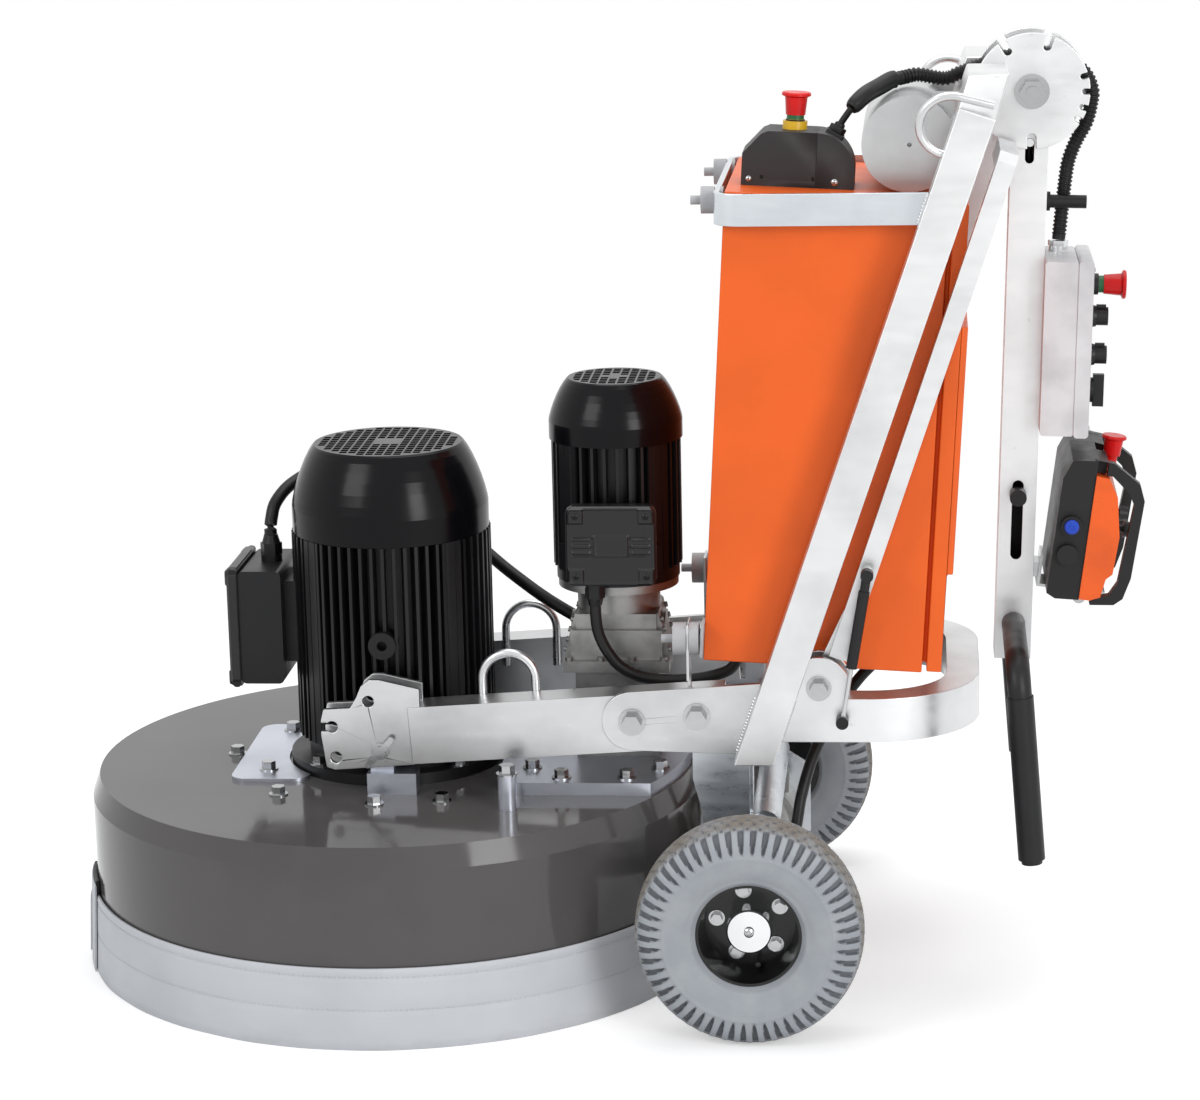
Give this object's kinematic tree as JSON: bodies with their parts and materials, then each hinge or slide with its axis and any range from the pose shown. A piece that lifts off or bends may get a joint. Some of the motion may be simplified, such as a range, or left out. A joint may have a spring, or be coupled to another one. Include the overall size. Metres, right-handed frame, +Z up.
{
  "type": "concrete floor grinder",
  "caption": "Remote-controlled planetary floor grinder: round shrouded head with two motors, wheeled chassis with cabinet, counterweight, folding handle mast and radio remote.",
  "frame": {"origin": "on the floor, at the middle of the outline seen from above", "axes": "+X to the rear of the machine (mast side), +Y to its right-hand side, +Z up"},
  "size_m": [1.4886, 0.8925, 1.2889],
  "materials": {
    "cover_black": "satin dark grey paint",
    "skirt_grey": "matt grey woven rubber",
    "zinc": "bright zinc plate",
    "motor_black": "semi-gloss black paint",
    "cast_alloy": "as-cast aluminium",
    "steel": "machined steel",
    "black_plastic": "moulded black plastic",
    "cable_rubber": "black cable jacket",
    "frame_zinc": "zinc plated steel",
    "orange": "orange powder coat",
    "orange_plastic": "moulded orange plastic",
    "pod_grey": "moulded dark grey plastic",
    "mount_rubber": "black rubber on zinc studs",
    "tyre_grey": "non-marking grey rubber",
    "rim_black": "black enamel",
    "black_paint": "black paint and rubber sleeves",
    "box_white": "off-white moulded box",
    "stop_red": "red push button",
    "stop_yellow": "yellow collar"
  },
  "bodies": {
    "chassis": {"front_arms": "frame_zinc", "side_plates": "frame_zinc", "legs": "frame_zinc", "rear_bow": "frame_zinc", "cabinet_hoop": "frame_zinc", "index_discs": "frame_zinc", "axle_carrier": "frame_zinc", "wheel_motors": "cast_alloy", "frame_bolts": "zinc", "lifting_loops": "frame_zinc", "counterweight": "steel", "cabinet_body": "orange", "cabinet_cover": "orange", "rubber_mounts": "mount_rubber", "top_pod": "pod_grey", "estop_collar": "stop_yellow", "chassis_cables": "cable_rubber", "cable_conduit": "cable_rubber"},
    "head": {"head_cover": "cover_black", "deck_plates": "zinc", "head_bolts": "zinc", "main_motor_frame": "motor_black", "main_fan_cover": "motor_black", "planet_gearbox": "cast_alloy", "planet_motor_frame": "motor_black", "planet_fan_cover": "motor_black", "terminal_boxes": "black_plastic", "motor_cables": "cable_rubber"},
    "skirt": {"dust_skirt": "skirt_grey"},
    "rotor": {"main_rotor": "steel"},
    "drum": {"planet_drum": "steel"},
    "disc_1": {"grinding_disc_1": "steel"},
    "disc_2": {"grinding_disc_2": "steel"},
    "disc_3": {"grinding_disc_3": "steel"},
    "pinion": {"planet_pinion": "steel"},
    "wheel_left": {"tyre_left": "tyre_grey", "rim_left": "rim_black"},
    "wheel_right": {"tyre_right": "tyre_grey", "rim_right": "rim_black"},
    "tilt_frame": {"tilt_arms": "frame_zinc"},
    "spring_rods": {"gas_rods": "steel"},
    "spring_tubes": {"gas_cylinders": "black_paint"},
    "mast": {"mast_tube": "frame_zinc", "handle_bar": "black_paint", "control_box": "box_white", "control_box_lid": "box_white", "cable_peg": "black_plastic", "remote_cradle": "zinc"},
    "lock": {"lock_slider": "black_plastic"},
    "stop_top": {"estop_top": "stop_red"},
    "stop_box": {"estop_box": "stop_red"},
    "knob_1": {"speed_knob_1": "black_plastic"},
    "knob_2": {"speed_knob_2": "black_plastic"},
    "switch": {"main_switch": "black_plastic"},
    "remote": {"remote_back": "black_plastic", "remote_shell": "orange_plastic", "remote_guard": "black_plastic"},
    "stop_remote": {"estop_remote": "stop_red"},
    "stick_1": {"joystick_1": "black_plastic"},
    "stick_2": {"joystick_2": "black_plastic"}
  },
  "joints": [
    {"name": "head_tilt", "type": "hinge", "parent": "chassis", "child": "head", "pos_m": [-0.293, 0, 0.337], "axis": [0, 1, 0], "range_deg": [-2.5, 2.5], "deforming": ["motor_cables"]},
    {"name": "skirt_float", "type": "slide", "parent": "head", "child": "skirt", "axis": [0, 0, 1], "range_m": [0, 0.03]},
    {"name": "planet_spin", "type": "hinge", "parent": "head", "child": "drum", "pos_m": [-0.297, 0, 0.15], "axis": [0, 0, 1], "continuous": true},
    {"name": "main_spin", "type": "hinge", "parent": "drum", "child": "rotor", "pos_m": [-0.297, 0, 0.15], "axis": [0, 0, 1], "continuous": true},
    {"name": "disc_1_spin", "type": "hinge", "parent": "drum", "child": "disc_1", "pos_m": [-0.062, 0, 0.06], "axis": [0, 0, 1], "continuous": true},
    {"name": "disc_2_spin", "type": "hinge", "parent": "drum", "child": "disc_2", "pos_m": [-0.4145, 0.20352, 0.06], "axis": [0, 0, 1], "continuous": true},
    {"name": "disc_3_spin", "type": "hinge", "parent": "drum", "child": "disc_3", "pos_m": [-0.4145, -0.20352, 0.06], "axis": [0, 0, 1], "continuous": true},
    {"name": "pinion_spin", "type": "hinge", "parent": "head", "child": "pinion", "pos_m": [0.023, 0, 0.2], "axis": [0, 0, 1], "continuous": true},
    {"name": "wheel_left_spin", "type": "hinge", "parent": "chassis", "child": "wheel_left", "pos_m": [0.22, -0.378, 0.1515], "axis": [0, 1, 0], "continuous": true},
    {"name": "wheel_right_spin", "type": "hinge", "parent": "chassis", "child": "wheel_right", "pos_m": [0.22, 0.378, 0.1515], "axis": [0, 1, 0], "continuous": true},
    {"name": "frame_tilt", "type": "hinge", "parent": "chassis", "child": "tilt_frame", "pos_m": [0.309, 0, 0.44], "axis": [0, 1, 0], "range_deg": [0, 54], "stiffness_Nm_per_rad": 30, "springref_deg": -28.65},
    {"name": "spring_turn", "type": "hinge", "parent": "chassis", "child": "spring_rods", "pos_m": [0.3404, 0, 0.3975], "axis": [0, 1, 0], "range_deg": [-2, 51]},
    {"name": "spring_stroke", "type": "slide", "parent": "spring_rods", "child": "spring_tubes", "axis": [0.1645, 0, 0.9864], "range_m": [-0.0456, 0.002]},
    {"name": "mast_fold", "type": "hinge", "parent": "chassis", "child": "mast", "pos_m": [0.59235, 0, 1.21192], "axis": [0, -1, 0], "range_deg": [0, 211], "deforming": ["cable_conduit"]},
    {"name": "lock_slide", "type": "slide", "parent": "mast", "child": "lock", "axis": [-0.0274, 0, -0.9996], "range_m": [0, 0.022], "stiffness_N_per_m": 300, "springref_m": -0.05},
    {"name": "stop_top_press", "type": "slide", "parent": "chassis", "child": "stop_top", "axis": [-0.0576, 0, -0.9983], "range_m": [0, 0.006]},
    {"name": "stop_box_press", "type": "slide", "parent": "mast", "child": "stop_box", "axis": [-0.9996, 0, 0.0274], "range_m": [0, 0.006]},
    {"name": "knob_1_turn", "type": "hinge", "parent": "mast", "child": "knob_1", "pos_m": [0.67388, 0, 0.90157], "axis": [0.9996, 0, -0.0274], "range_deg": [-150, 150]},
    {"name": "knob_2_turn", "type": "hinge", "parent": "mast", "child": "knob_2", "pos_m": [0.67242, 0, 0.84859], "axis": [0.9996, 0, -0.0274], "range_deg": [-150, 150]},
    {"name": "switch_turn", "type": "hinge", "parent": "mast", "child": "switch", "pos_m": [0.67108, 0, 0.79961], "axis": [0.9996, 0, -0.0274], "range_deg": [0, 90]},
    {"name": "remote_lift", "type": "slide", "parent": "mast", "child": "remote", "axis": [0.9766, 0, 0.2152], "range_m": [0, 0.25]},
    {"name": "stop_remote_press", "type": "slide", "parent": "remote", "child": "stop_remote", "axis": [-0.1317, 0, -0.9913], "range_m": [0, 0.006]},
    {"name": "stick_1_tilt", "type": "hinge", "parent": "remote", "child": "stick_1", "pos_m": [0.70174, -0.05, 0.61823], "axis": [0, 1, 0], "range_deg": [-20, 20], "stiffness_Nm_per_rad": 0.4},
    {"name": "stick_2_tilt", "type": "hinge", "parent": "remote", "child": "stick_2", "pos_m": [0.70174, 0.05, 0.61823], "axis": [0, 1, 0], "range_deg": [-20, 20], "stiffness_Nm_per_rad": 0.4}
  ],
  "couplings": [
    {"joint": "disc_1_spin", "follows": "main_spin", "ratio": -1.0435},
    {"joint": "disc_2_spin", "follows": "main_spin", "ratio": -1.0435},
    {"joint": "disc_3_spin", "follows": "main_spin", "ratio": -1.0435},
    {"joint": "pinion_spin", "follows": "planet_spin", "ratio": -7},
    {"joint": "spring_turn", "follows": "frame_tilt", "ratio": 0.88},
    {"joint": "spring_stroke", "follows": "frame_tilt", "m_per_rad": -0.04628}
  ]
}
